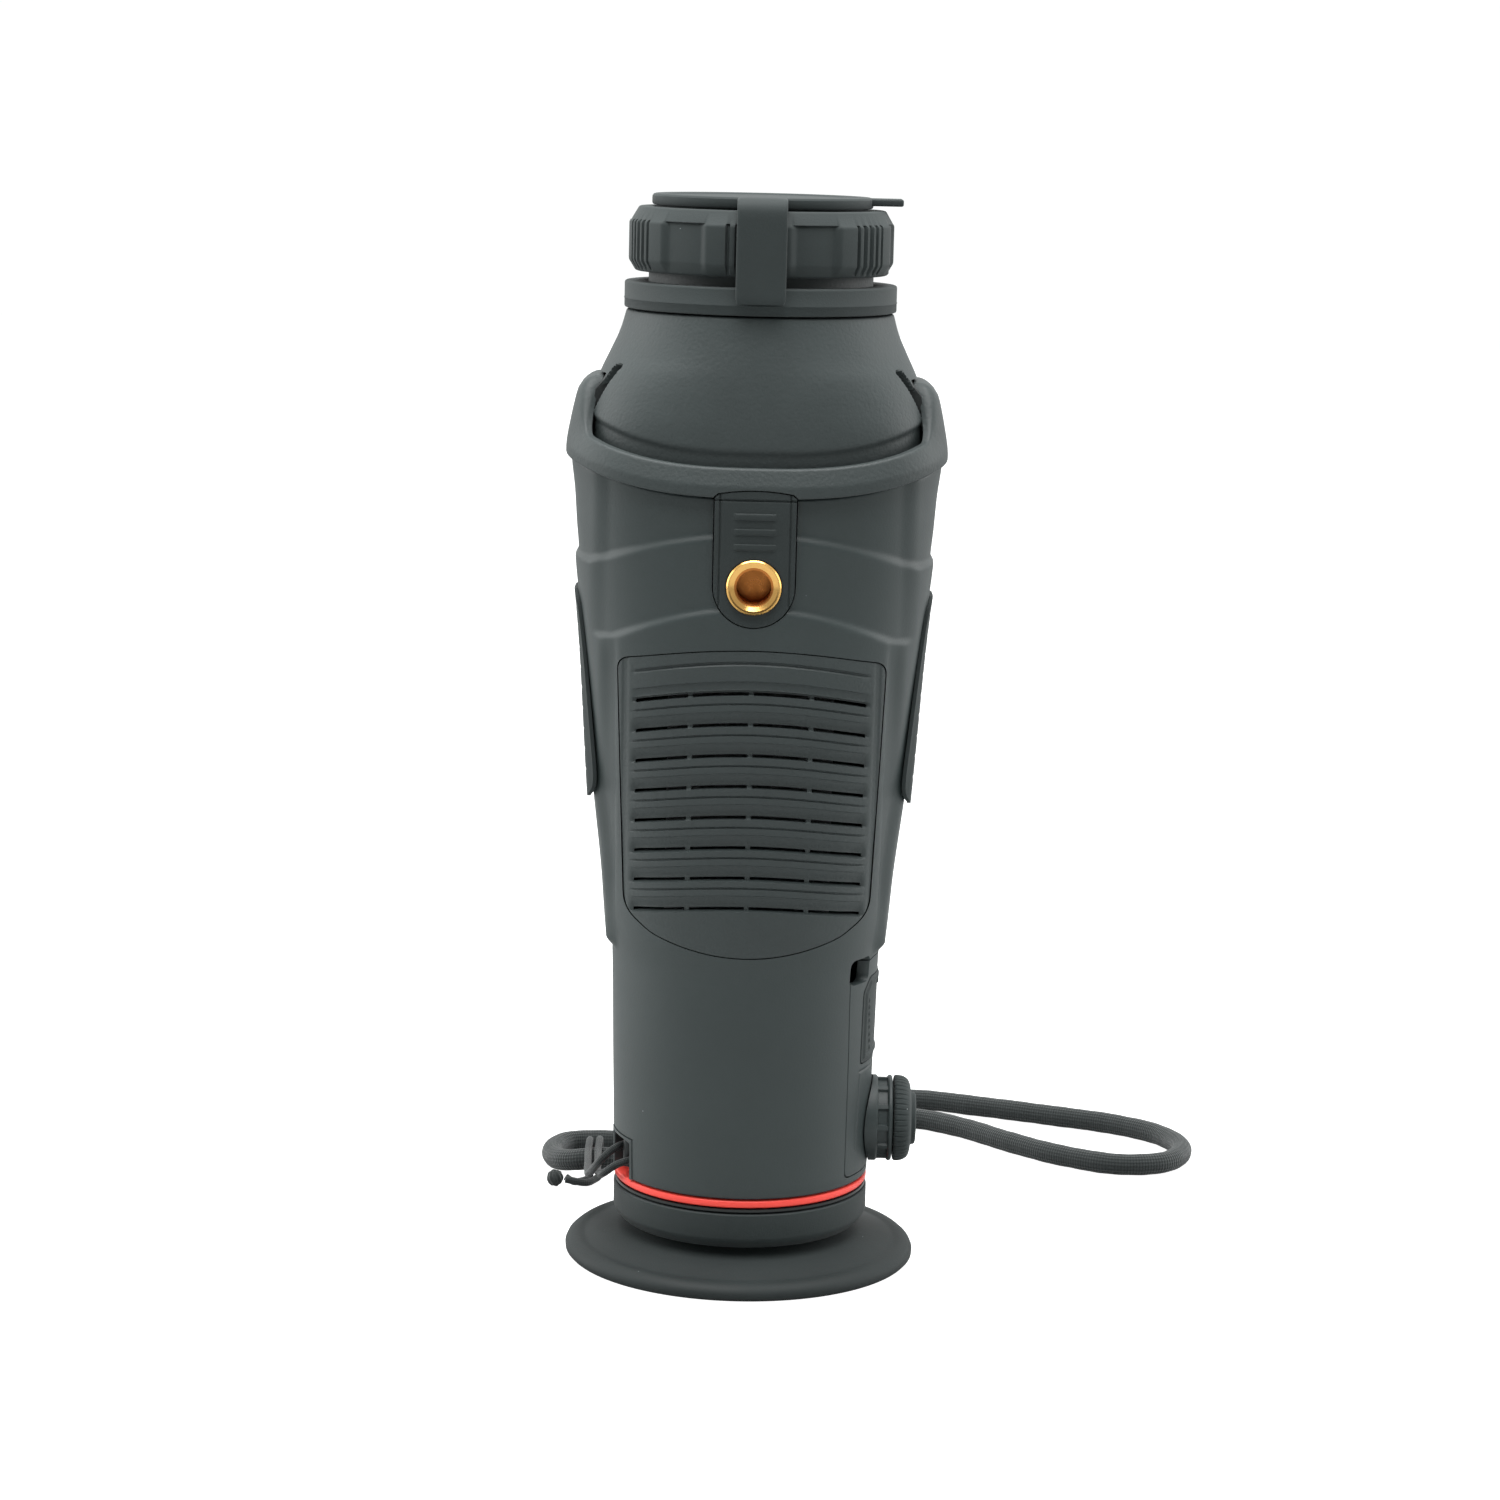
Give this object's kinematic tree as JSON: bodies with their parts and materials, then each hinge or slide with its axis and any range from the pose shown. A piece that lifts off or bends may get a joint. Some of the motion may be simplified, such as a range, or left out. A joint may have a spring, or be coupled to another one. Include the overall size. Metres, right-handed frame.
{
  "type": "laser rangefinder monocular",
  "caption": "Handheld monocular with a built-in laser rangefinder, focus ring, tethered lens cap, dioptre knob, wrist cord and tripod socket.",
  "frame": {"origin": "centre of the eyecup's underside, on the surface that the object stands on", "axes": "+Z along the optical axis towards the objective, -Y towards the underside with the tripod socket, +X towards the side with the dioptre knob"},
  "size_m": [0.1389, 0.1418, 0.2057],
  "materials": {
    "matte_plastic": "fine matte moulding",
    "grained_plastic": "finely grained matte moulding",
    "rubber": "soft matte rubber",
    "accent_red": "satin red",
    "brass": "turned, bright",
    "aluminium": "satin",
    "anodised_black": "satin, black anodised",
    "steel": "satin",
    "lens_glass": "coated, polished",
    "circuit": "solder mask",
    "battery_wrap": "shrink sleeve",
    "cord": "braided"
  },
  "bodies": {
    "housing": {"main_housing": "matte_plastic", "front_bezel": "grained_plastic", "lens_cone": "grained_plastic", "deck_plate": "anodised_black", "left_side_pad": "rubber", "right_side_pad": "rubber", "vent_panel": "matte_plastic", "heat_sink": "aluminium", "tripod_plate": "rubber", "tripod_insert": "brass", "accent_ring": "accent_red", "eyepiece_barrel": "anodised_black", "rear_cap": "matte_plastic", "eyecup": "rubber", "side_panel": "matte_plastic", "diopter_base": "matte_plastic", "usb_socket": "steel", "strap_lug": "matte_plastic", "strap_lug_pin": "steel", "display_module": "circuit", "main_board": "circuit", "board_screw_1": "steel", "board_screw_2": "steel", "battery": "battery_wrap", "battery_cradle": "matte_plastic", "sensor_module": "aluminium", "laser_emitter": "aluminium", "laser_receiver": "aluminium", "emitter_window": "lens_glass", "receiver_window": "lens_glass", "emitter_hood": "matte_plastic", "receiver_hood": "matte_plastic", "button_surround": "rubber", "button_board": "circuit", "guide_pin": "steel", "wrist_cord": "cord", "cord_ferrule": "rubber", "lug_string_a": "cord", "lug_string_b": "cord", "string_knot": "cord"},
    "focus_ring": {"focus_ring": "rubber"},
    "objective_cell": {"objective_cell": "anodised_black", "objective_front_lens": "lens_glass", "objective_rear_lens": "lens_glass", "objective_retainer": "anodised_black"},
    "tether_band": {"tether_band": "rubber", "cap_strap": "rubber"},
    "lens_cap": {"lens_cap": "rubber"},
    "diopter_knob": {"diopter_knob": "rubber", "diopter_shaft": "steel", "diopter_pin": "steel"},
    "eyepiece_cell": {"eyepiece_cell": "anodised_black", "eye_lens": "lens_glass", "field_lens": "lens_glass", "eyepiece_retainer": "matte_plastic"},
    "port_cover": {"port_cover": "rubber"},
    "power_button": {"power_button": "rubber"},
    "range_button": {"range_button": "rubber"},
    "menu_button": {"menu_button": "rubber"},
    "zoom_button": {"zoom_button": "rubber"}
  },
  "joints": [
    {"name": "focus_turn", "type": "hinge", "parent": "housing", "child": "focus_ring", "pos_m": [0, 0, 0.1973], "axis": [0, 0, 1], "range_deg": [-90, 90]},
    {"name": "objective_slide", "type": "slide", "parent": "housing", "child": "objective_cell", "axis": [0, 0, 1], "range_m": [-0.0015, 0.0015]},
    {"name": "tether_turn", "type": "hinge", "parent": "housing", "child": "tether_band", "pos_m": [0, 0, 0.1869], "axis": [0, 0, 1], "continuous": true},
    {"name": "cap_swing", "type": "hinge", "parent": "tether_band", "child": "lens_cap", "pos_m": [0, -0.0276, 0.20385], "axis": [1, 0, 0], "range_deg": [0, 225]},
    {"name": "diopter_turn", "type": "hinge", "parent": "housing", "child": "diopter_knob", "pos_m": [0.0297, 0, 0.0273], "axis": [1, 0, 0], "range_deg": [-45, 45]},
    {"name": "eyepiece_slide", "type": "slide", "parent": "housing", "child": "eyepiece_cell", "axis": [0, 0, 1], "range_m": [-0.00226, 0.00226]},
    {"name": "port_cover_open", "type": "hinge", "parent": "housing", "child": "port_cover", "pos_m": [0.02561, 0, 0.041], "axis": [0, 1, 0], "range_deg": [0, 110]},
    {"name": "power_button_press", "type": "slide", "parent": "housing", "child": "power_button", "axis": [0, -1, 0], "range_m": [0, 0.0008], "stiffness_N_per_m": 900, "springref_m": -0.0006},
    {"name": "range_button_press", "type": "slide", "parent": "housing", "child": "range_button", "axis": [0, -1, 0], "range_m": [0, 0.0008], "stiffness_N_per_m": 900, "springref_m": -0.0006},
    {"name": "menu_button_press", "type": "slide", "parent": "housing", "child": "menu_button", "axis": [0, -1, 0], "range_m": [0, 0.0008], "stiffness_N_per_m": 900, "springref_m": -0.0006},
    {"name": "zoom_button_press", "type": "slide", "parent": "housing", "child": "zoom_button", "axis": [0, -1, 0], "range_m": [0, 0.0008], "stiffness_N_per_m": 900, "springref_m": -0.0006}
  ],
  "couplings": [
    {"joint": "focus_turn", "follows": "objective_slide", "rad_per_m": 1047.2},
    {"joint": "diopter_turn", "follows": "eyepiece_slide", "rad_per_m": 347.1}
  ]
}
